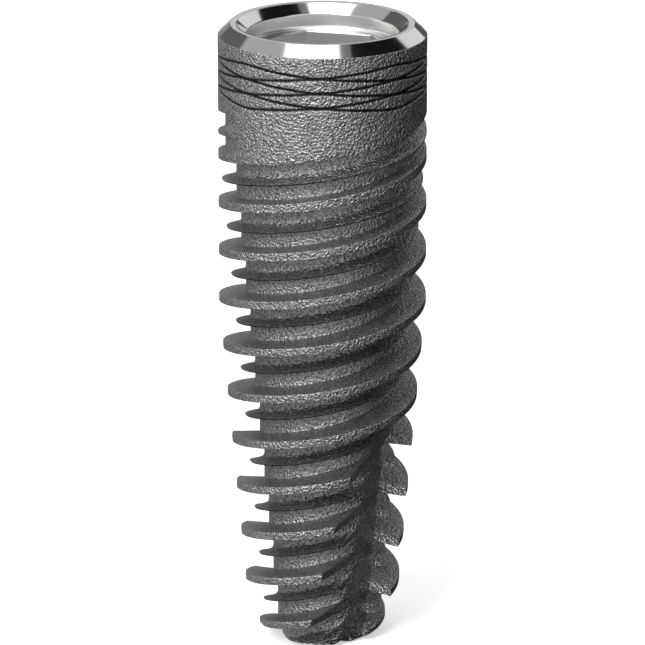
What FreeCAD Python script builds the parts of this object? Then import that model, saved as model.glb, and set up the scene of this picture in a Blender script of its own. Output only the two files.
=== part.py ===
import FreeCAD, Part
import math
import os

import Sketcher

# Titanium dental implant, one piece turned and milled from bar. It is modelled with the platform that
# carries the tooth at height 0 and the apex below, and then raised to stand on its flat apex.
# Lengths in millimetres, angles in degrees.

SIZES = {
    # turned blank, depths measured down from the platform
    "collar_radius": 2.1,
    "overall_length": 13.0,
    "rim_radius": 1.849,
    "bevel_height": 0.234,
    "taper_start": 5.85,
    "taper_angle": 5.0,
    "nose_radius": 1.0,
    # thread: square main ridges with a low sharp ridge midway between two of them
    "thread_starts": 2,
    "thread_pitch": 1.0,
    "core_radius": 1.736,
    "core_depth": 3.2125,
    "core_angle": 5.17,
    "crest_width": 0.166,
    "crest_offset": 0.5055,
    "upper_flank_angle": 3.5,
    "lower_flank_angle": 1.0,
    "flank_height": 0.55,
    "low_ridge_height": 0.3,
    "low_ridge_base": 0.15,
    # where each groove fades out under the collar
    "runout_depth": 2.2125,
    "runout_angle": 40.0,
    "runout_turn": 71.0,
    "runout_lift": 0.2534,
    # cutting flutes at the apex
    "flute_count": 2,
    "flute_top": 8.46,
    "flute_angle": 161.0,
    "flute_twist": 6.9,
    "flute_bite": 0.015,
    "flute_wall": 0.37,
    "flute_draft": 5.0,
    # socket for the tooth's post, its driver and its screw
    "mouth_radius": 1.729,
    "bore_radius": 1.52,
    "bore_top": 0.2,
    "shelf_depth": 0.51,
    "shelf_fillet": 0.08,
    "hex_flats": 2.43,
    "hex_angle": 44.0,
    "hex_depth": 2.2,
    "screw_radius": 0.8,
    "screw_depth": 6.2,
    "drill_angle": 59.0,
}

# Cutters reach this far past the surface that they cut through.
REACH = 0.4
# Sections of a flute's loft.
FLUTE_SECTIONS = 4
# A thread groove is built in stretches of this many degrees, each with this many steps.
STRETCH = 180
STEPS = 8
# Both edges of a ruled face run the same way.
SAME_WAY = 1

Vector = FreeCAD.Vector
Z_AXIS = Vector(0, 0, 1)


def size(name):
    """Value of one named size in the sheet."""
    return float(sheet.get(name))


def slope(name):
    """Tangent of one of the sheet's angles."""
    return math.tan(math.radians(size(name)))


def origin_item(body, role):
    """Plane or axis of a body's own origin."""
    return next(item for item in body.Origin.OriginFeatures if item.Role == role)


def new_sketch(body, name, role):
    """Empty sketch on one of the body's origin planes."""
    sketch = body.newObject("Sketcher::SketchObject", name)
    sketch.AttachmentSupport = (origin_item(body, role), [""])
    sketch.MapMode = "FlatFace"
    return sketch


def draw_outline(sketch, corners):
    """Closed outline of straight lines, with both coordinates of each corner bound to an expression."""
    count = len(corners)
    start = [
        Vector(math.cos(math.tau * i / count), math.sin(math.tau * i / count), 0) for i in range(count)
    ]
    for i in range(count):
        sketch.addGeometry(Part.LineSegment(start[i], start[(i + 1) % count]), False)
    for i in range(count):
        sketch.addConstraint(Sketcher.Constraint("Coincident", i, 2, (i + 1) % count, 1))
    for i, corner in enumerate(corners):
        for kind, value, expression in zip(("DistanceX", "DistanceY"), start[i], corner):
            index = sketch.addConstraint(Sketcher.Constraint(kind, -1, 1, i, 1, value))
            sketch.setExpression(f"Constraints[{index}]", expression)


def closed_edge(shape, depth, radius):
    """Name of the circular edge of this radius at this depth."""
    for number, edge in enumerate(shape.Edges, start=1):
        box = edge.BoundBox
        if edge.Closed and abs(box.ZMin + depth) + abs(box.ZMax + depth) + abs(box.XMax - radius) < 1e-4:
            return f"Edge{number}"
    raise RuntimeError(f"no round edge of radius {radius} at depth {depth}")


def require_cut(feature, before):
    """A cut that missed the solid shows no error, so the volume has to fall."""
    doc.recompute()
    if not feature.Shape.Volume < before - 1e-6:
        raise RuntimeError(f"{feature.Label} cuts nothing")
    return feature.Shape.Volume


doc = FreeCAD.newDocument("dental_implant")
sheet = doc.addObject("Spreadsheet::Sheet", "Sizes")
for row, (name, value) in enumerate(SIZES.items(), start=1):
    sheet.set(f"A{row}", name)
    sheet.set(f"B{row}", str(value))
    sheet.setAlias(f"B{row}", name)
doc.recompute()

# Turned blank: bevelled platform, straight collar, tapered body and rounded nose

blank = doc.addObject("PartDesign::Body", "blank")
outline = new_sketch(blank, "blank_outline", "XZ_Plane")
TAPER_LENGTH = "(Sizes.overall_length - Sizes.taper_start)"
END_RADIUS = f"(Sizes.collar_radius - {TAPER_LENGTH} * tan(Sizes.taper_angle * 1deg))"
draw_outline(outline, [
    ("0", "0"),
    ("Sizes.rim_radius", "0"),
    ("Sizes.collar_radius", "-Sizes.bevel_height"),
    ("Sizes.collar_radius", "-Sizes.taper_start"),
    (END_RADIUS, "-Sizes.overall_length"),
    ("0", "-Sizes.overall_length"),
])
turned = blank.newObject("PartDesign::Revolution", "turned")
turned.Profile = outline
turned.ReferenceAxis = (outline, ["V_Axis"])
turned.Angle = 360
doc.recompute()

end_radius = size("collar_radius") - (size("overall_length") - size("taper_start")) * slope("taper_angle")
nose = blank.newObject("PartDesign::Fillet", "nose")
nose.Base = (turned, [closed_edge(turned.Shape, size("overall_length"), end_radius)])
nose.setExpression("Radius", f"min(Sizes.nose_radius; 0.9 * {END_RADIUS})")
doc.recompute()
volume = nose.Shape.Volume

# Socket: lead-in, bore with a filleted shelf, hexagon for the driver and hole for the screw

mouth_outline = new_sketch(blank, "mouth_outline", "XZ_Plane")
draw_outline(mouth_outline, [
    ("0", "0"),
    ("Sizes.mouth_radius", "0"),
    ("Sizes.bore_radius", "-Sizes.bore_top"),
    ("Sizes.bore_radius", "-Sizes.shelf_depth"),
    ("0", "-Sizes.shelf_depth"),
])
mouth = blank.newObject("PartDesign::Groove", "mouth")
mouth.Profile = mouth_outline
mouth.ReferenceAxis = (mouth_outline, ["V_Axis"])
mouth.Angle = 360
volume = require_cut(mouth, volume)

shelf = blank.newObject("PartDesign::Fillet", "shelf")
shelf.Base = (mouth, [closed_edge(mouth.Shape, size("shelf_depth"), size("bore_radius"))])
shelf.setExpression("Radius", "min(Sizes.shelf_fillet; 0.9 * (Sizes.shelf_depth - Sizes.bore_top))")
doc.recompute()
volume = shelf.Shape.Volume

hex_outline = new_sketch(blank, "hex_outline", "XY_Plane")
HEX_CORNER = "Sizes.hex_flats / 2 / cos(30deg)"
draw_outline(hex_outline, [
    (f"{HEX_CORNER} * cos((Sizes.hex_angle + {60 * i}) * 1deg)",
     f"{HEX_CORNER} * sin((Sizes.hex_angle + {60 * i}) * 1deg)")
    for i in range(6)
])
hexagon = blank.newObject("PartDesign::Pocket", "hexagon")
hexagon.Profile = hex_outline
hexagon.setExpression("Length", "Sizes.hex_depth")
volume = require_cut(hexagon, volume)

screw_outline = new_sketch(blank, "screw_outline", "XZ_Plane")
draw_outline(screw_outline, [
    ("0", "-Sizes.shelf_depth"),
    ("Sizes.screw_radius", "-Sizes.shelf_depth"),
    ("Sizes.screw_radius", "-Sizes.screw_depth"),
    ("0", "-Sizes.screw_depth - Sizes.screw_radius / tan(Sizes.drill_angle * 1deg)"),
])
screw_hole = blank.newObject("PartDesign::Groove", "screw_hole")
screw_hole.Profile = screw_outline
screw_hole.ReferenceAxis = (screw_outline, ["V_Axis"])
screw_hole.Angle = 360
volume = require_cut(screw_hole, volume)

# Cutting flutes: each has a flat floor just under the thread's root and one steep wall, and both twist
# the way of the thread. A section lies in its own sketch, turned so that its x axis is square to the floor.

flute_sections = []
for number in range(FLUTE_SECTIONS):
    section = new_sketch(blank, f"flute_section_{number + 1}", "XY_Plane")
    share = number / (FLUTE_SECTIONS - 1)
    drop = f"({share} * (Sizes.overall_length + {REACH} - Sizes.flute_top))"
    depth = f"(Sizes.flute_top + {drop})"
    root = f"(Sizes.core_radius - ({depth} - Sizes.core_depth) * tan(Sizes.core_angle * 1deg))"
    floor = f"({root} - Sizes.flute_bite)"
    outside = f"(Sizes.collar_radius + {REACH})"
    lean = "tan(Sizes.flute_draft * 1deg)"
    draw_outline(section, [
        (floor, "Sizes.flute_wall"),
        (floor, f"-{outside}"),
        (outside, f"-{outside}"),
        (outside, f"Sizes.flute_wall + ({outside} - {floor}) * {lean}"),
    ])
    section.setExpression(".AttachmentOffset.Base.z", f"-{depth}")
    section.setExpression(
        ".AttachmentOffset.Rotation.Angle",
        f"(Sizes.flute_angle - Sizes.flute_twist * {drop}) * 1deg",
    )
    flute_sections.append(section)
flute = blank.newObject("PartDesign::SubtractiveLoft", "flute")
flute.Profile = flute_sections[0]
flute.Sections = flute_sections[1:]
volume = require_cut(flute, volume)

flutes = blank.newObject("PartDesign::PolarPattern", "flutes")
flutes.Originals = [flute]
flutes.Axis = (origin_item(blank, "Z_Axis"), [""])
flutes.Angle = 360
flutes.setExpression("Occurrences", "Sizes.flute_count")
blank.Tip = flutes
doc.recompute()
volume = blank.Shape.Volume

# Thread grooves, one for each start. A groove's section has a root parallel to the axis, two nearly square
# flanks and the low ridge in its middle. It winds down along the tapered core as a right-handed helix,
# and rises out of the metal over its last stretch under the collar.


def core_at(height):
    """Radius of the thread's root at this height."""
    return size("core_radius") + (height + size("core_depth")) * slope("core_angle")


def groove_section(height, lift):
    """Corners (radius, height) of the groove whose middle is at this height, raised by lift."""
    root = core_at(height) + lift
    outside = size("collar_radius") + REACH
    half_crest = size("crest_width") / 2
    upper_crest = height + size("crest_offset")
    lower_crest = upper_crest - size("thread_pitch")
    flank = size("flank_height")
    beyond = outside - root - flank
    half_base = size("low_ridge_base") / 2
    return [
        (root, lower_crest + half_crest + flank * slope("upper_flank_angle")),
        (outside, lower_crest + half_crest - beyond * slope("upper_flank_angle")),
        (outside, upper_crest - half_crest + beyond * slope("lower_flank_angle")),
        (root, upper_crest - half_crest - flank * slope("lower_flank_angle")),
        (root, height + half_base),
        (root + size("low_ridge_height"), height),
        (root, height - half_base),
    ]


def groove_corners(turned_by):
    """Corners in space of the section that lies this many degrees below the groove's upper end."""
    lead = size("thread_starts") * size("thread_pitch")
    lift = size("runout_lift") * max(0, 1 - turned_by / size("runout_turn"))
    height = -size("runout_depth") + lead * (size("runout_angle") - turned_by) / 360
    angle = math.radians(size("runout_angle") - turned_by)
    return [
        Vector(radius * math.cos(angle), radius * math.sin(angle), z)
        for radius, z in groove_section(height, lift)
    ]


def groove_solid():
    """Closed solid of one groove, made of ruled faces between the helices that its corners run along."""
    lead = size("thread_starts") * size("thread_pitch")
    deepest = size("overall_length") + size("thread_pitch") - size("runout_depth")
    last = 360 * deepest / lead + size("runout_angle")
    stops = [0, size("runout_turn")]
    while stops[-1] < last:
        stops.append(stops[-1] + STRETCH)
    faces = []
    for first, second in zip(stops, stops[1:]):
        turns = [first + (second - first) * i / STEPS for i in range(STEPS + 1)]
        edges = []
        for path in zip(*(groove_corners(turn) for turn in turns)):
            curve = Part.BSplineCurve()
            curve.interpolate(list(path))
            edges.append(curve.toShape())
        for i, edge in enumerate(edges):
            faces.append(Part.makeRuledSurface(edge, edges[(i + 1) % len(edges)], SAME_WAY))
    for stop in (stops[0], stops[-1]):
        corners = groove_corners(stop)
        faces.append(Part.Face(Part.makePolygon(corners + corners[:1])))
    shell = Part.Shell(faces)
    shell.sewShape(1e-5)
    solid = Part.makeSolid(shell)
    if solid.Volume < 0:
        solid.reverse()
    return solid


def groove_cutters():
    """One groove solid for each start of the thread."""
    solid = groove_solid()
    starts = int(size("thread_starts"))
    cutters = []
    for i in range(starts):
        cutter = solid.copy()
        cutter.rotate(Vector(), Z_AXIS, 360 * i / starts)
        cutters.append(cutter)
    return Part.makeCompound(cutters)


grooves = doc.addObject("Part::Feature", "thread_grooves")
grooves.Shape = groove_cutters()

implant = doc.addObject("Part::Cut", "implant")
implant.Base = blank
implant.Tool = grooves
implant.Label = "implant_body"
require_cut(implant, volume)

# It stands on the flat of its apex, with the origin on the floor under its axis.

implant.setExpression(".Placement.Base.z", "Sizes.overall_length")
doc.recompute()

# Checks, then one STEP file

for item in doc.Objects:
    if "Invalid" in item.State or "Error" in item.State:
        raise RuntimeError(f"{item.Label} failed: {item.State}")
if implant.Shape.isNull() or not implant.Shape.isValid() or len(implant.Shape.Solids) != 1:
    raise RuntimeError("implant_body isn't one valid solid")

os.makedirs("parts", exist_ok=True)
implant.Shape.exportStep(f"parts/{implant.Label}.step")
solid = implant.Shape.Solids[0]
print("volume", round(solid.Volume, 3), "centre of mass", solid.CenterOfMass)
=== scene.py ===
import math

import bpy
from bpy.props import FloatProperty, IntProperty, PointerProperty, StringProperty
from mathutils import Matrix, Vector


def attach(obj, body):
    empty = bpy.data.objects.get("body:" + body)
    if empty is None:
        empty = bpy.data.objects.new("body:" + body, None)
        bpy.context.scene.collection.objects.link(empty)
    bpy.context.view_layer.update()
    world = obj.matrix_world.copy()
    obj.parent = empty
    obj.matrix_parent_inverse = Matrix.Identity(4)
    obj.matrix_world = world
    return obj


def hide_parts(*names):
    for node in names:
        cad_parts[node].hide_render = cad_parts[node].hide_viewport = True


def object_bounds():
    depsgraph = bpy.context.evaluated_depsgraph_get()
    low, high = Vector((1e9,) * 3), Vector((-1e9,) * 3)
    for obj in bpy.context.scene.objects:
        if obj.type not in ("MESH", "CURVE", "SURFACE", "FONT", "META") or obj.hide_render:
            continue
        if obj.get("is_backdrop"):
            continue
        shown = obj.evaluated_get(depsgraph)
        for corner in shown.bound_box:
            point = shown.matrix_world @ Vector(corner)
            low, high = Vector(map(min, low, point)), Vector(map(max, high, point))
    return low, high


bl_info = {
    "name": "Dental implant",
    "version": (1, 0, 0),
    "blender": (4, 5, 0),
    "location": "View3D > Sidebar > Implant",
    "description": "Finished model of a tapered dental implant over its packed frame, with a small studio",
    "category": "Mesh",
}

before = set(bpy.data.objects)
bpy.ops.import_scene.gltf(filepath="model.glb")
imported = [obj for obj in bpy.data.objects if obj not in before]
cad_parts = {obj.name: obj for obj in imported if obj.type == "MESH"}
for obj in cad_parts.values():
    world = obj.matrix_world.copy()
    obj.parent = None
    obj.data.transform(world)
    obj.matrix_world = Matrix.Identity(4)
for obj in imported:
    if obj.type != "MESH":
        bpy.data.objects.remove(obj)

# The implant is modelled in millimetres, with its platform at height 0 and its axis on Z. It is then scaled
# and raised to stand where the frame's solid stands. The frame gives its length and radius.

MM = 0.001
CAD_LOW, CAD_HIGH = (Vector(corner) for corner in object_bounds())
LENGTH = (CAD_HIGH.z - CAD_LOW.z) / MM
RADIUS = (CAD_HIGH.x - CAD_LOW.x) / 2 / MM
RAISED = Matrix.Translation((0, 0, CAD_HIGH.z))

# All rings have this many points, the first at this angle, so that the hexagon's corners fall on points.
COLUMNS = 144
FIRST_COLUMN = 1.5
STEP = 360 / COLUMNS

# Points closer than this are welded: those of a spun outline, and those where strips of the surface meet.
SPIN_WELD = 1e-4
STRIP_WELD = 5e-5

# How far the middle point of a rounded corner stands in from the sharp corner, as a share of the rounding.
CORNER_SHARE = 0.3

# Foot of a low ridge: the hollow over it, as (out from the root, up from the ridge's middle), and how far
# below the ridge a row of points on the root lies.
RIDGE_FOOT = ((0.085, 0.062), (0.035, 0.085), (0.01, 0.12), (0.0, 0.17))
ROW_BELOW_RIDGE = 0.05

# Places in a groove's outline of the two points on the low ridge's blunt under edge, which gets painted
# shade.
UNDER_EDGE = (15, 16)

# Rows of points across one fine groove of the collar.
LINE_ROWS = 6

# A flute's cutter: how far it reaches outside the implant, and how many slices its twist has.
CUTTER_REACH = 0.4
CUTTER_SLICES = 16

# Degrees of one side of the hexagon.
HEX_SIDE = 60

# Edges that turn by more than this many degrees stay sharp.
SHARP_ANGLE = 50

# Numbers of the piece's three materials.
BLASTED, POLISHED, MACHINED = range(3)

# Blasted grain: size of its pits and height of its bump, in millimetres.
GRAIN_SIZE = 0.048
GRAIN_BUMP = 0.05

# Light of its own that lifts the floor where it is seen, and the world's strength where it only lights.
FLOOR_LIFT = 0.5
WORLD_LIGHT = 0.4

# Studio: the floor's side in metres, and in millimetres where the flags stand and how far off the cards of
# the sky are.
FLOOR_SIZE = 3
FLAG_X = 60
SKY_DISTANCE = 200


class ImplantSizes(bpy.types.PropertyGroup):
    """Sizes of the implant's surface, in millimetres and degrees."""

    rim_radius: FloatProperty(name="Rim radius", description="Outer edge of the flat rim", default=1.849)
    bevel_height: FloatProperty(name="Bevel height", description="Height of the outer bevel", default=0.234)
    mouth_radius: FloatProperty(name="Mouth radius", description="Inner edge of the flat rim", default=1.729)
    bore_radius: FloatProperty(name="Bore radius", description="Round bore under the mouth", default=1.52)
    bore_top: FloatProperty(name="Bore top", description="Depth where the mouth's bevel ends", default=0.2)
    shelf_depth: FloatProperty(name="Shelf depth", description="Depth of the hexagon's ledge", default=0.51)
    shelf_fillet: FloatProperty(name="Shelf fillet", description="Radius from bore to ledge", default=0.08)
    hex_flats: FloatProperty(name="Hexagon", description="Hexagon across its flats", default=2.43)
    hex_angle: FloatProperty(name="Hexagon angle", description="Angle of its first corner", default=44.0)
    hex_depth: FloatProperty(name="Hexagon depth", description="Depth of its floor", default=2.2)
    screw_radius: FloatProperty(name="Screw hole radius", description="Drilled radius", default=0.8)
    screw_depth: FloatProperty(name="Screw hole depth", description="Depth of the full bore", default=6.2)
    drill_angle: FloatProperty(name="Drill angle", description="Half angle of its point", default=59.0)
    edge: FloatProperty(name="Edge", description="Width of the small rounding on edges", default=0.012)
    taper_start: FloatProperty(name="Taper start", description="Depth where the crests taper", default=5.85)
    taper_angle: FloatProperty(name="Taper angle", description="Taper of the crests", default=5.0)
    nose_radius: FloatProperty(name="Nose radius", description="Rounding at the apex", default=1.0)
    pitch: FloatProperty(name="Pitch", description="From one main ridge to the next", default=1.0)
    core_radius: FloatProperty(name="Core radius", description="Root radius at the core depth", default=1.736)
    core_depth: FloatProperty(name="Core depth", description="Where that radius is measured", default=3.2125)
    core_angle: FloatProperty(name="Core angle", description="Taper of the root", default=5.17)
    crest_width: FloatProperty(name="Crest width", description="Width of a main ridge", default=0.166)
    crest_offset: FloatProperty(name="Crest offset", description="Main ridge over its groove", default=0.5055)
    upper_flank: FloatProperty(name="Upper flank", description="Draft of a ridge's top face", default=3.5)
    lower_flank: FloatProperty(name="Lower flank", description="Draft of a ridge's under face", default=1.0)
    flank_height: FloatProperty(name="Flank height", description="Where that width is measured", default=0.55)
    ridge_height: FloatProperty(name="Low ridge height", description="Low ridge above the root", default=0.3)
    ridge_base: FloatProperty(name="Low ridge base", description="Width of the ridge's foot", default=0.15)
    ridge_land: FloatProperty(name="Low ridge land", description="Blunt under edge of its tip", default=0.032)
    runout_depth: FloatProperty(name="Run-out depth", description="Groove height at angle 0", default=2.2125)
    runout_angle: FloatProperty(name="Run-out angle", description="Where a groove ends", default=40.0)
    runout_turn: FloatProperty(name="Run-out turn", description="Turn over which it fades", default=71.0)
    runout_lift: FloatProperty(name="Run-out lift", description="How far it rises", default=0.2534)
    flute_top: FloatProperty(name="Flute top", description="Depth where a flute starts", default=8.46)
    flute_angle: FloatProperty(name="Flute angle", description="Direction at its top", default=161.0)
    flute_twist: FloatProperty(name="Flute twist", description="Degrees per millimetre", default=6.9)
    flute_bite: FloatProperty(name="Flute bite", description="Floor below the root", default=0.015)
    flute_wall: FloatProperty(name="Flute wall", description="Wall beside the flute's middle", default=0.37)
    flute_draft: FloatProperty(name="Flute draft", description="Lean of the flute's wall", default=5.0)
    collar_end: FloatProperty(name="Collar end", description="Depth where the collar ends", default=1.62)
    line_top: FloatProperty(name="First line", description="Mean depth of the first one", default=0.5675)
    line_gap: FloatProperty(name="Line gap", description="From one fine groove to the next", default=0.1496)
    line_wave: FloatProperty(name="Line wave", description="Height of a fine groove's wave", default=0.0628)
    line_peak: FloatProperty(name="Line peak", description="How much its crests are drawn out", default=0.007)
    line_angle: FloatProperty(name="Line angle", description="Where the first is highest", default=43.4)
    line_width: FloatProperty(name="Line width", description="Width of a fine groove", default=0.07)
    line_depth: FloatProperty(name="Line depth", description="Depth of a fine groove", default=0.025)
    line_count: IntProperty(name="Lines", description="Fine grooves round the collar", default=6)
    line_waves: IntProperty(name="Waves", description="Waves of a fine groove in one turn", default=4)


class ImplantColours(bpy.types.PropertyGroup):
    """Colours of the finish, as sRGB hex values."""

    peak: StringProperty(name="Peaks", description="Blasted metal on its high spots", default="B4B4B4")
    pit: StringProperty(name="Pits", description="Blasted metal in its pits", default="78787A")
    # Painted shade: this dark colour stands in for the shade in the fine grooves and under the low ridges'
    # tips.
    groove: StringProperty(name="Grooves", description="Fine grooves and under edges", default="262627")
    polished: StringProperty(name="Polished", description="Polished metal", default="CDCCCB")
    # Satin finish is real. Its paleness, above the polished metal, is painted light that stands in for light
    # reaching the deep socket.
    machined: StringProperty(name="Machined", description="Satin metal in the socket", default="E6E5E4")
    floor: StringProperty(name="Floor", description="Studio floor", default="F4F4F4")


def linear(text):
    """Linear colour with alpha from an sRGB hex value."""
    parts = [int(text[i:i + 2], 16) / 255 for i in (0, 2, 4)]
    return [c / 12.92 if c <= 0.04045 else ((c + 0.055) / 1.055) ** 2.4 for c in parts] + [1.0]


def tangent(angle):
    return math.tan(math.radians(angle))


def only(*chosen):
    """Selects these objects and nothing else, the first one active."""
    if bpy.context.object and bpy.context.object.mode != "OBJECT":
        bpy.ops.object.mode_set(mode="OBJECT")
    bpy.ops.object.select_all(action="DESELECT")
    for item in chosen:
        item.select_set(True)
    bpy.context.view_layer.objects.active = chosen[0]


def drawn_outline(name, points):
    """Open line through points (radius, height) in the first column's plane. It is a ring of edges whose
    closing edge is deleted."""
    bpy.ops.object.select_all(action="DESELECT")
    bpy.ops.mesh.primitive_circle_add(vertices=len(points), fill_type="NOTHING")
    line = bpy.context.object
    line.name = name
    angle = math.radians(FIRST_COLUMN)
    for vertex, (radius, height) in zip(line.data.vertices, points):
        vertex.co = (radius * math.cos(angle), radius * math.sin(angle), height)
    closing = {0, len(points) - 1}
    bpy.ops.object.mode_set(mode="EDIT")
    bpy.ops.mesh.select_mode(type="EDGE")
    bpy.ops.mesh.select_all(action="DESELECT")
    bpy.ops.object.mode_set(mode="OBJECT")
    for edge in line.data.edges:
        edge.select = set(edge.vertices) == closing
    bpy.ops.object.mode_set(mode="EDIT")
    bpy.ops.mesh.delete(type="EDGE")
    bpy.ops.object.mode_set(mode="OBJECT")
    return line


def core_at(sizes, height):
    """Root radius of the thread at this height."""
    return sizes.core_radius + (height + sizes.core_depth) * tangent(sizes.core_angle)


def blank_at(sizes, height):
    """Radius of the turned blank at this height: collar, taper and rounded nose."""
    slope = tangent(sizes.taper_angle)
    taper = RADIUS - max(0, -height - sizes.taper_start) * slope
    centre = sizes.nose_radius - LENGTH
    lean = math.hypot(1, slope)
    nose_axis = RADIUS + (centre + sizes.taper_start) * slope - sizes.nose_radius * lean
    tangent_height = centre - sizes.nose_radius * slope / lean
    if height > tangent_height:
        return taper
    drop = min(sizes.nose_radius, centre - height)
    return nose_axis + math.sqrt(sizes.nose_radius ** 2 - drop ** 2)


def main_flank(sizes, root, crest, side, draft):
    """Face of a main ridge from its crest to the root: side is 1 above the ridge's middle and -1 below it."""
    half = sizes.crest_width / 2
    top = blank_at(sizes, crest)
    bottom = min(root, top)
    rounding = min(sizes.edge, (top - bottom) / 4)
    foot = crest + side * (half + sizes.flank_height * tangent(draft))
    face = [
        (radius, foot - side * (radius - bottom) * tangent(draft))
        for radius in (
            top - rounding, top - (top - bottom) / 3, top - (top - bottom) * 2 / 3, bottom + rounding)
    ]
    corner = face[0][1]
    tip = [
        (top, crest),
        (top, crest + side * half / 2),
        (top, corner - side * rounding),
        (top - CORNER_SHARE * rounding, corner - side * CORNER_SHARE * rounding),
    ]
    return tip + face + [(bottom, foot + side * rounding)]


def low_ridge(sizes, root, height):
    """The sharp low ridge between two main ones, from below it to above it."""
    base = sizes.ridge_base / 2
    tip = root + sizes.ridge_height
    land = sizes.ridge_land
    outline = [
        (root, -base - ROW_BELOW_RIDGE),
        (root, -base),
        (root + (tip - root) / 2, -base / 2 - land / 2),
        (tip - 2 * land / 3, -land),
        (tip - land / 3, -land / 2),
        (tip, 0),
        (tip - sizes.edge, sizes.edge / 3),
        (root + (tip - root) / 2, base / 2),
    ] + [(root + out, up) for out, up in RIDGE_FOOT]
    return [(radius, height + z) for radius, z in outline]


def row_between(root, low, high):
    """Three points on the root, evenly spaced between these two heights."""
    return [(root, low + (high - low) * i / 4) for i in (1, 2, 3)]


def groove_points(sizes, height, lift):
    """One groove from the middle of the ridge below to the middle of the ridge above, as (radius, height)."""
    root = core_at(sizes, height) + lift
    above = height + sizes.crest_offset
    below = above - sizes.pitch
    low = low_ridge(sizes, root, height)
    lower = main_flank(sizes, root, below, 1, sizes.upper_flank)
    upper = main_flank(sizes, root, above, -1, sizes.lower_flank)[::-1]
    gap_below = row_between(root, lower[-1][1], low[0][1])
    gap_above = row_between(root, low[-1][1], upper[0][1])
    return lower + gap_below + low + gap_above + upper


def trimmed(sizes, points):
    """The points held inside the blank, between the apex and the plane where the smooth collar ends. The
    first point above that plane goes to where the outline crosses it, and later ones to the collar's edge."""
    top = -sizes.collar_end
    reached = (RADIUS, top)
    kept = []
    for radius, z in points:
        if z < -LENGTH:
            radius, z = blank_at(sizes, -LENGTH), -LENGTH
        radius = min(radius, blank_at(sizes, z))
        before, reached = reached, (radius, z)
        if z > top and before[1] < top:
            share = (top - before[1]) / (z - before[1])
            radius, z = before[0] + (radius - before[0]) * share, top
        elif z > top:
            radius, z = RADIUS, top
        kept.append((radius, z))
    return kept


def threaded_part(sizes):
    """The thread's surface: one groove's outline wound as a screw, then tapered, run out and trimmed to
    the blank. The second start is a copy turned by half a turn."""
    outline = groove_points(sizes, 0, 0)
    piece = drawn_outline("thread", outline)
    lead = 2 * sizes.pitch
    turns = math.ceil((LENGTH + lead) / lead) + 1
    wind = piece.modifiers.new("wind", "SCREW")
    wind.axis = "Z"
    wind.angle = math.tau
    wind.screw_offset = lead
    wind.iterations = turns
    wind.steps = COLUMNS
    wind.render_steps = COLUMNS
    wind.use_merge_vertices = False
    only(piece)
    bpy.ops.object.modifier_apply(modifier=wind.name)
    first = FIRST_COLUMN - 360 * (turns - 1)
    count = len(outline)
    painted_under_edge_shade = []
    for step in range(len(piece.data.vertices) // count):
        angle = first + STEP * step
        height = lead * angle / 360 - sizes.runout_depth
        fade = 1 - (sizes.runout_angle - angle) / sizes.runout_turn
        points = groove_points(sizes, height, sizes.runout_lift * max(0, fade))
        # Painted shade on the low ridge's blunt under edge: full along the thread, fading out towards the
        # run-out.
        dark = min(1, max(0, -2 * fade))
        turned = math.radians(angle)
        for index, (radius, z) in enumerate(trimmed(sizes, points)):
            painted_under_edge_shade.append(dark if index in UNDER_EDGE else 0.0)
            vertex = piece.data.vertices[step * count + index]
            vertex.co = (radius * math.cos(turned), radius * math.sin(turned), z)
    # The groove attribute carries this painted shade to the material.
    piece.data.attributes.new("groove", "FLOAT", "POINT").data.foreach_set("value", painted_under_edge_shade)
    only(piece)
    bpy.ops.object.duplicate()
    bpy.context.object.data.transform(Matrix.Rotation(math.pi, 4, "Z"))
    only(piece, bpy.context.object)
    bpy.ops.object.join()
    return piece


def collar_heights(sizes):
    """Heights of the collar's rows, close together where the fine grooves run."""
    reach = sizes.line_wave + sizes.line_peak + sizes.line_width / 2
    top = -sizes.line_top + reach
    bottom = -sizes.line_top - sizes.line_gap * (sizes.line_count - 1) - reach
    rows = math.ceil((top - bottom) / (sizes.line_width / LINE_ROWS))
    fine = [top + (bottom - top) * i / rows for i in range(rows + 1)]
    return fine + [(bottom - sizes.collar_end) / 2]


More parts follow.
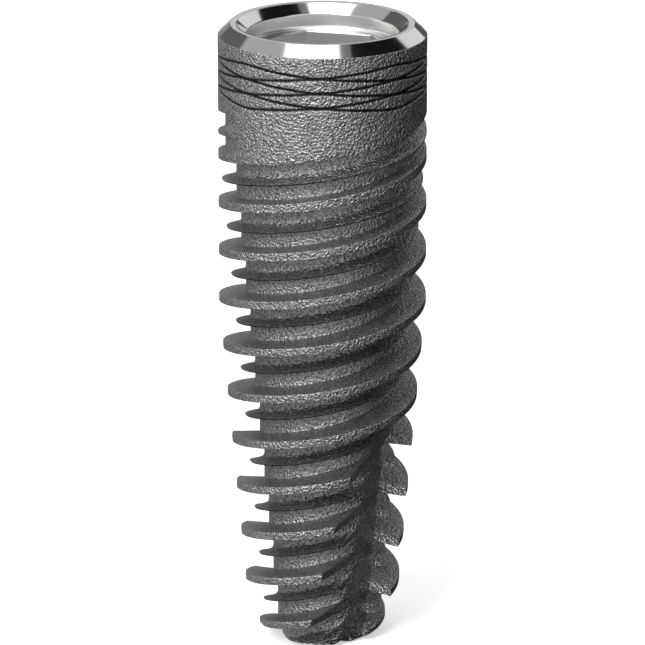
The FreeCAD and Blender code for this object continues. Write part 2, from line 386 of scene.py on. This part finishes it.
def turned_part(sizes):
    """Everything that is turned round the axis: screw hole, socket, platform and collar. Its hexagon is
    turned round at first, and its points are then moved out to the six flats."""
    e = sizes.edge
    slope = (RADIUS - sizes.rim_radius) / sizes.bevel_height
    shelf, fillet = -sizes.shelf_depth, sizes.shelf_fillet
    arc = [
        (sizes.bore_radius - fillet + fillet * math.sin(math.radians(turn)),
         shelf + fillet - fillet * math.cos(math.radians(turn)))
        for turn in (0, 22.5, 45, 67.5, 90)
    ]
    hexagon = sizes.hex_flats / 2
    outline = [
        (0, -sizes.screw_depth - sizes.screw_radius / tangent(sizes.drill_angle)),
        (sizes.screw_radius, -sizes.screw_depth),
        (sizes.screw_radius, -sizes.hex_depth - e),
        (sizes.screw_radius + e, -sizes.hex_depth),
        (hexagon - e, -sizes.hex_depth),
        (hexagon, -sizes.hex_depth + e),
        (hexagon, (shelf - sizes.hex_depth) / 2),
        (hexagon, shelf - e),
        (hexagon + e, shelf),
        (sizes.bore_radius - fillet - e, shelf),
    ] + arc + [
        (sizes.bore_radius, -sizes.bore_top - e),
        (sizes.bore_radius + e, -sizes.bore_top + e),
        (sizes.mouth_radius - e, -e),
        (sizes.mouth_radius + e / 2, 0),
        (sizes.rim_radius - e / 2, 0),
        (sizes.rim_radius + e * slope / 2, -e / 2),
        (RADIUS - e * slope, -sizes.bevel_height + e),
        (RADIUS, -sizes.bevel_height - e / 2),
    ] + [(RADIUS, height) for height in collar_heights(sizes)] + [(RADIUS, -sizes.collar_end)]
    piece = drawn_outline("turned", outline)
    only(piece)
    bpy.ops.object.mode_set(mode="EDIT")
    bpy.ops.mesh.select_all(action="SELECT")
    bpy.ops.mesh.spin(steps=COLUMNS, angle=math.tau, center=(0, 0, 0), axis=(0, 0, 1))
    bpy.ops.mesh.select_all(action="SELECT")
    bpy.ops.mesh.remove_doubles(threshold=SPIN_WELD)
    bpy.ops.object.mode_set(mode="OBJECT")
    cut_hexagon(sizes, piece)
    cut_lines(sizes, piece)
    return piece


def cut_hexagon(sizes, piece):
    """Moves the round points of the hexagon's wall out to its six flats."""
    flat = sizes.hex_flats / 2
    low = -sizes.hex_depth - SPIN_WELD
    high = -sizes.shelf_depth + SPIN_WELD
    for vertex in piece.data.vertices:
        radius = math.hypot(vertex.co.x, vertex.co.y)
        if low < vertex.co.z < high and abs(radius - flat) < 2 * sizes.edge:
            angle = math.degrees(math.atan2(vertex.co.y, vertex.co.x)) - sizes.hex_angle
            off_middle = math.radians(angle % HEX_SIDE - HEX_SIDE / 2)
            vertex.co.x /= math.cos(off_middle)
            vertex.co.y /= math.cos(off_middle)


def line_depth_at(sizes, angle, height):
    """Depth of the fine grooves at a point of the collar: 0 outside them and 1 along their floors, which take
    up the inner half of their width. Every second groove waves the other way, so neighbours cross. The third
    harmonic draws the waves' crests out."""
    turn = math.radians(sizes.line_waves * (angle - sizes.line_angle))
    wave = sizes.line_wave * math.cos(turn) + sizes.line_peak * math.cos(3 * turn)
    deepest = 0.0
    for number in range(sizes.line_count):
        side = 1 if number % 2 == 0 else -1
        middle = -sizes.line_top - number * sizes.line_gap + side * wave
        away = abs(height - middle) / (sizes.line_width / 2)
        deepest = max(deepest, min(1.0, 2 * (1 - away)))
    return deepest


def cut_lines(sizes, piece):
    """Sinks the fine wavy grooves into the collar, and keeps their depth as an attribute, from which the
    material paints shade into their floors.
    """
    depths = [0.0] * len(piece.data.vertices)
    for vertex in piece.data.vertices:
        radius = math.hypot(vertex.co.x, vertex.co.y)
        if radius > RADIUS - SPIN_WELD and vertex.co.z < -sizes.bevel_height - sizes.edge:
            angle = math.degrees(math.atan2(vertex.co.y, vertex.co.x))
            depth = line_depth_at(sizes, angle, vertex.co.z)
            depths[vertex.index] = depth
            sunk = 1 - depth * sizes.line_depth / radius
            vertex.co.x *= sunk
            vertex.co.y *= sunk
    attribute = piece.data.attributes.new("groove", "FLOAT", "POINT")
    attribute.data.foreach_set("value", depths)


def flute_cutter(sizes, turn):
    """Twisted block that cuts one flute: a flat floor just under the root, and one steep wall."""
    outside = RADIUS + CUTTER_REACH
    bpy.ops.object.select_all(action="DESELECT")
    bpy.ops.mesh.primitive_plane_add(size=1)
    cutter = bpy.context.object
    cutter.name = "flute_cutter"
    bpy.ops.object.mode_set(mode="EDIT")
    bpy.ops.mesh.select_all(action="SELECT")
    for _ in range(CUTTER_SLICES):
        bpy.ops.mesh.extrude_region_move(TRANSFORM_OT_translate={"value": (0, 0, -1)})
    bpy.ops.object.mode_set(mode="OBJECT")
    levels = {}
    for vertex in cutter.data.vertices:
        levels.setdefault(round(vertex.co.z), []).append(vertex)
    for number, level in enumerate(sorted(levels, reverse=True)):
        drop = (LENGTH + CUTTER_REACH - sizes.flute_top) * number / CUTTER_SLICES
        height = -sizes.flute_top - drop
        floor = core_at(sizes, height) - sizes.flute_bite
        wall = sizes.flute_wall + (outside - floor) * tangent(sizes.flute_draft)
        angle = math.radians(sizes.flute_angle - sizes.flute_twist * drop + turn)
        for vertex in levels[level]:
            x = outside if vertex.co.x > 0 else floor
            y = -outside if vertex.co.y < 0 else (wall if vertex.co.x > 0 else sizes.flute_wall)
            vertex.co = (
                x * math.cos(angle) - y * math.sin(angle),
                x * math.sin(angle) + y * math.cos(angle),
                height,
            )
    only(cutter)
    bpy.ops.object.mode_set(mode="EDIT")
    bpy.ops.mesh.select_all(action="SELECT")
    bpy.ops.mesh.normals_make_consistent(inside=False)
    bpy.ops.object.mode_set(mode="OBJECT")
    return cutter


def close_nose(piece):
    """Welds the strips together and fills the flat at the apex."""
    only(piece)
    bpy.ops.object.mode_set(mode="EDIT")
    bpy.ops.mesh.select_mode(type="VERT")
    bpy.ops.mesh.select_all(action="SELECT")
    bpy.ops.mesh.remove_doubles(threshold=STRIP_WELD)
    bpy.ops.mesh.select_all(action="DESELECT")
    bpy.ops.mesh.select_non_manifold()
    bpy.ops.mesh.edge_face_add()
    bpy.ops.mesh.select_all(action="SELECT")
    bpy.ops.mesh.normals_make_consistent(inside=False)
    bpy.ops.object.mode_set(mode="OBJECT")


def cut(piece, cutter):
    """Takes the cutter out of the piece, and deletes the cutter."""
    tool = piece.modifiers.new("cut", "BOOLEAN")
    tool.operation = "DIFFERENCE"
    tool.solver = "EXACT"
    tool.object = cutter
    only(piece)
    bpy.ops.object.modifier_apply(modifier=tool.name)
    bpy.data.objects.remove(cutter)


def stand_up(piece):
    """Scales the piece to metres and stands it where the frame's solid stands. Its object stays at the
    origin."""
    piece.data.transform(RAISED @ Matrix.Scale(MM, 4))
    piece.data.update()


def add_node(tree, kind, inputs=(), **settings):
    """Adds a node with its settings. inputs gives each socket a value, or an output to link from."""
    node = tree.nodes.new(kind)
    for name, value in settings.items():
        setattr(node, name, value)
    for socket, value in dict(inputs).items():
        if isinstance(value, bpy.types.NodeSocket):
            tree.links.new(value, node.inputs[socket])
        else:
            node.inputs[socket].default_value = value
    return node


def new_material(name):
    """Empty node material with its output and its principled shader."""
    material = bpy.data.materials.new(name)
    material.use_nodes = True
    material.node_tree.nodes.clear()
    tree = material.node_tree
    shader = add_node(tree, "ShaderNodeBsdfPrincipled")
    output = add_node(tree, "ShaderNodeOutputMaterial")
    tree.links.new(shader.outputs["BSDF"], output.inputs["Surface"])
    return material, tree, shader


def blasted_titanium(colours):
    """Titanium blasted with coarse grit and etched in acid: dull grey metal with pits that sparkle on the
    side that faces the light and stay dark on the other. Where the attribute groove is 1, it takes the dark
    groove colour as painted shade."""
    material, tree, shader = new_material("blasted_titanium")
    place = add_node(tree, "ShaderNodeTexCoord").outputs["Object"]
    pits = add_node(tree, "ShaderNodeTexNoise", {
        "Vector": place, "Scale": 1 / (GRAIN_SIZE * MM), "Detail": 1.0, "Roughness": 0.45}).outputs["Fac"]
    bump = add_node(tree, "ShaderNodeBump", {"Distance": GRAIN_BUMP * MM, "Height": pits})
    tone = add_node(tree, "ShaderNodeMapRange", {"Value": pits, "From Min": 0.3, "From Max": 0.7})
    metal = add_node(tree, "ShaderNodeMix", {
        "Factor": tone.outputs["Result"], 6: linear(colours.pit), 7: linear(colours.peak)}, data_type="RGBA")
    # Painted shade: the groove attribute mixes the dark groove colour into the fine grooves' floors and the
    # low ridges' under edges.
    groove = add_node(tree, "ShaderNodeAttribute", attribute_name="groove")
    sunk = add_node(tree, "ShaderNodeMix", {
        "Factor": groove.outputs["Fac"], 6: metal.outputs[2], 7: linear(colours.groove)}, data_type="RGBA")
    tree.links.new(sunk.outputs[2], shader.inputs["Base Color"])
    tree.links.new(bump.outputs["Normal"], shader.inputs["Normal"])
    shader.inputs["Metallic"].default_value = 1.0
    shader.inputs["Roughness"].default_value = 0.45
    return material


def bare_titanium(name, colour, roughness):
    """Titanium without grain: polished where the tooth's post seats, and satin where the cutter left it."""
    material, _, shader = new_material(name)
    shader.inputs["Base Color"].default_value = linear(colour)
    shader.inputs["Metallic"].default_value = 1.0
    shader.inputs["Roughness"].default_value = roughness
    return material


def finish_at(sizes, point):
    """Number of the material of a face whose middle is this point. The platform and the socket's ledge are
    polished, the socket's walls and the screw hole are as machined, and the rest is blasted."""
    radius = math.hypot(point.x, point.y)
    depth = -point.z
    margin = 0.1
    hex_end = sizes.hex_depth + margin
    drill_end = sizes.screw_depth + sizes.screw_radius / tangent(sizes.drill_angle) + margin
    socket = sizes.bore_top < depth < hex_end and radius < sizes.bore_radius + sizes.edge / 2
    screw_hole = sizes.bore_top < depth < drill_end and radius < sizes.screw_radius + margin
    ledge = socket and abs(depth - sizes.shelf_depth) < sizes.edge and radius > sizes.hex_flats / 2
    if ledge or depth < sizes.bevel_height - sizes.edge:
        return POLISHED
    return MACHINED if socket or screw_hole else BLASTED


class IMPLANT_OT_body(bpy.types.Operator):
    """Model the implant in one closed piece and give it its three finishes"""

    bl_idname = "implant.body"
    bl_label = "Implant body"

    def execute(self, context):
        sizes = context.scene.implant_sizes
        colours = context.scene.implant_colours
        piece = turned_part(sizes)
        only(piece, threaded_part(sizes))
        bpy.ops.object.join()
        piece.name = "implant"
        close_nose(piece)
        for turn in (0, 180):
            cut(piece, flute_cutter(sizes, turn))
        piece.data.materials.clear()
        piece.data.materials.append(blasted_titanium(colours))
        piece.data.materials.append(bare_titanium("polished_titanium", colours.polished, 0.1))
        # The socket's satin metal is made pale as painted light.
        piece.data.materials.append(bare_titanium("machined_titanium_painted_light", colours.machined, 0.35))
        for face in piece.data.polygons:
            face.material_index = finish_at(sizes, face.center)
        only(piece)
        bpy.ops.object.shade_smooth_by_angle(angle=math.radians(SHARP_ANGLE))
        even = piece.modifiers.new("even", "WEIGHTED_NORMAL")
        even.keep_sharp = True
        bpy.ops.object.modifier_apply(modifier=even.name)
        stand_up(piece)
        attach(piece, "root")
        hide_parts("implant_body")
        return {"FINISHED"}


def studio_lamp(name, place, target, width, height, brightness):
    """Soft box at this place, turned to the target, whose face shines with this brightness. Places and sizes
    are in millimetres."""
    lamp = bpy.data.lights.new(name, "AREA")
    lamp.shape = "RECTANGLE"
    lamp.size = width * MM
    lamp.size_y = height * MM
    lamp.energy = brightness * math.pi * lamp.size * lamp.size_y
    stand = bpy.data.objects.new(name, lamp)
    bpy.context.scene.collection.objects.link(stand)
    stand.location = Vector(place) * MM
    stand.rotation_euler = (Vector(place) - Vector(target)).to_track_quat("Z", "Y").to_euler()


def direction(azimuth, elevation):
    """Unit vector at this azimuth, from +Y to +X, and elevation."""
    flat = math.cos(math.radians(elevation))
    turn = math.radians(azimuth)
    return Vector((math.sin(turn) * flat, math.cos(turn) * flat, math.sin(math.radians(elevation))))


def reflector(name, level, corners):
    """Card in the studio that only shows in the metal, as a plain tone of this level. Its corners are in
    millimetres, two along one side and then the two opposite them."""
    bpy.ops.object.select_all(action="DESELECT")
    bpy.ops.mesh.primitive_plane_add(size=1)
    card = bpy.context.object
    card.name = name
    for vertex, corner in zip(card.data.vertices, corners):
        vertex.co = Vector(corner) * MM
    material = bpy.data.materials.new(name)
    material.use_nodes = True
    tree = material.node_tree
    tree.nodes.clear()
    tone = add_node(tree, "ShaderNodeEmission", {"Color": (level, level, level, 1.0)})
    add_node(tree, "ShaderNodeOutputMaterial", {"Surface": tone.outputs[0]})
    card.data.materials.append(material)
    card.visible_camera = False
    card.visible_diffuse = False
    card.visible_transmission = False
    card.visible_shadow = False
    card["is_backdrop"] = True


def flag(name, level, y_range, z_range):
    """Upright reflector at the implant's right."""
    reflector(name, level, [(FLAG_X, y, z) for z in z_range for y in y_range])


def floor_card(name, level, height, x_range, y_range):
    """Reflector that lies just above the floor."""
    reflector(name, level, [(x, y, height) for y in y_range for x in x_range])


def sky_card(name, level, azimuths, elevations, distance=SKY_DISTANCE):
    """Reflector that covers this patch of the sky, in degrees, seen from the platform."""
    top = Vector((0, 0, LENGTH))
    reflector(name, level, [
        top + direction(azimuth, elevation) * distance
        for elevation in elevations
        for azimuth in azimuths
    ])


def seen_directly(tree):
    """Output that is 1 for rays from the camera, from gloss or through glass, and 0 for those that light."""
    path = add_node(tree, "ShaderNodeLightPath")
    shown = add_node(tree, "ShaderNodeMath", {
        0: path.outputs["Is Camera Ray"], 1: path.outputs["Is Glossy Ray"]}, operation="MAXIMUM")
    either = add_node(tree, "ShaderNodeMath", {
        0: shown.outputs[0], 1: path.outputs["Is Transmission Ray"]}, operation="MAXIMUM")
    return either.outputs[0]


def white_board(colours):
    """Matt white board for the floor. It takes the implant's shadow, and a little light of its own lifts it
    to the plain white of the background."""
    material, tree, shader = new_material("white_board")
    shader.inputs["Base Color"].default_value = linear(colours.floor)
    shader.inputs["Roughness"].default_value = 0.9
    shader.inputs["Specular IOR Level"].default_value = 0.0
    lift = add_node(tree, "ShaderNodeMath", {0: seen_directly(tree), 1: FLOOR_LIFT}, operation="MULTIPLY")
    shader.inputs["Emission Color"].default_value = linear("FFFFFF")
    tree.links.new(lift.outputs[0], shader.inputs["Emission Strength"])
    return material


def studio_world():
    """World that shows white where it is seen and lights the implant more softly."""
    world = bpy.data.worlds.new("studio")
    world.use_nodes = True
    tree = world.node_tree
    tree.nodes.clear()
    level = add_node(tree, "ShaderNodeMapRange", {
        "Value": seen_directly(tree), "To Min": WORLD_LIGHT, "To Max": 1.0})
    sky = add_node(tree, "ShaderNodeBackground", {
        "Color": linear("FFFFFF"), "Strength": level.outputs["Result"]})
    add_node(tree, "ShaderNodeOutputWorld", {"Surface": sky.outputs[0]})
    return world


def add_lights():
    """The two soft boxes, one beside the camera and one overhead, and the cards that the metal mirrors. The
    flags and the cards on the floor darken its right side and its under faces. The cards of the sky give the
    platform its bands. Lengths are in millimetres."""
    middle = Vector((0, 0, LENGTH / 2))
    beside_camera = middle + direction(-148, 36) * 250
    studio_lamp("key", beside_camera, middle, width=100, height=100, brightness=13.0)
    studio_lamp("top", (-20, -17, 163), (-20, -17, 0), width=96, height=115, brightness=2.2)

    # After the name and the level come a flag's ranges of y and z, the height and the ranges of x and y of a
    # card on the floor, or the ranges of azimuth and elevation of a card of the sky.
    flag("flag_right", 0.01, (-39, 44.5), (0, 190))
    flag("flag_edge", 0.25, (-75, 42), (190, 295))
    floor_card("dark_floor", 0.02, 0.02, (0, 120), (-15, 120))
    floor_card("shade_floor", 0.2, 0.02, (-120, 0), (5, 120))
    floor_card("grey_floor", 0.42, 0.01, (-120, 120), (-120, 120))
    sky_card("grey_low", 0.32, (-45, -8), (-4, 7))
    sky_card("dark_left", 0.16, (-80, -15), (7, 32.5))
    sky_card("grey_left", 0.58, (-120, -40), (32.5, 64.5))
    sky_card("dark_low", 0.1, (0, 60), (-4, 9))
    sky_card("grey_back", 0.55, (-38, 50), (41, 80))
    sky_card("dark_high", 0.12, (-16, 19), (7, 41))

    # This one is nearer, so that it shows in front of dark_high.
    sky_card("pale_back", 0.8, (-8, 8), (12, 22), distance=150)


class IMPLANT_OT_studio(bpy.types.Operator):
    """Add the floor, the lamps, the world and the camera"""

    bl_idname = "implant.studio"
    bl_label = "Studio"

    def execute(self, context):
        colours = context.scene.implant_colours
        scene = context.scene
        bpy.ops.object.select_all(action="DESELECT")
        bpy.ops.mesh.primitive_plane_add(size=FLOOR_SIZE)
        floor = context.object
        floor.name = "floor"
        floor.data.materials.append(white_board(colours))
        floor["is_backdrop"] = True
        scene.world = studio_world()
        add_lights()
        add_camera(scene)
        scene.view_settings.view_transform = "Standard"
        return {"FINISHED"}


def add_camera(scene):
    """Camera of the photograph, fitted to the outline: far off with a long lens, 17.2 degrees above the
    implant's middle. The distance is in millimetres, and the focal length and the drop in pixels."""
    elevation = math.radians(17.2259)
    distance = 106.3753
    focal = 5225.85
    image = 645
    principal_drop = 10.5
    back = Vector((0, -math.cos(elevation), math.sin(elevation)))
    up = Vector((0, math.sin(elevation), math.cos(elevation)))
    right = Vector((1, 0, 0))
    upright = Matrix((right, up, back)).transposed().to_4x4()
    upright.translation = (Vector((0, 0, -LENGTH / 2)) + back * distance) * MM
    data = bpy.data.cameras.new("camera")
    data.sensor_width = 36.0
    data.lens = focal / image * data.sensor_width
    data.shift_y = principal_drop / image
    data.clip_start = 0.01
    data.clip_end = 10.0
    camera = bpy.data.objects.new("camera", data)
    scene.collection.objects.link(camera)
    camera.matrix_world = RAISED @ upright
    scene.camera = camera


class IMPLANT_PT_panel(bpy.types.Panel):
    """Lists the implant's operators and sizes in the sidebar"""

    bl_idname = "IMPLANT_PT_panel"
    bl_label = "Dental implant"
    bl_space_type = "VIEW_3D"
    bl_region_type = "UI"
    bl_category = "Implant"

    def draw(self, context):
        self.layout.operator(IMPLANT_OT_body.bl_idname)
        self.layout.operator(IMPLANT_OT_studio.bl_idname)
        for group in (context.scene.implant_sizes, context.scene.implant_colours):
            column = self.layout.column()
            for name in type(group).__annotations__:
                column.prop(group, name)


CLASSES = (ImplantSizes, ImplantColours, IMPLANT_OT_body, IMPLANT_OT_studio, IMPLANT_PT_panel)


def register():
    for item in CLASSES:
        bpy.utils.register_class(item)
    bpy.types.Scene.implant_sizes = PointerProperty(type=ImplantSizes)
    bpy.types.Scene.implant_colours = PointerProperty(type=ImplantColours)


def unregister():
    del bpy.types.Scene.implant_colours
    del bpy.types.Scene.implant_sizes
    for item in reversed(CLASSES):
        bpy.utils.unregister_class(item)


def main():
    register()
    bpy.ops.implant.body()
    bpy.ops.implant.studio()


if __name__ == "__main__":
    main()
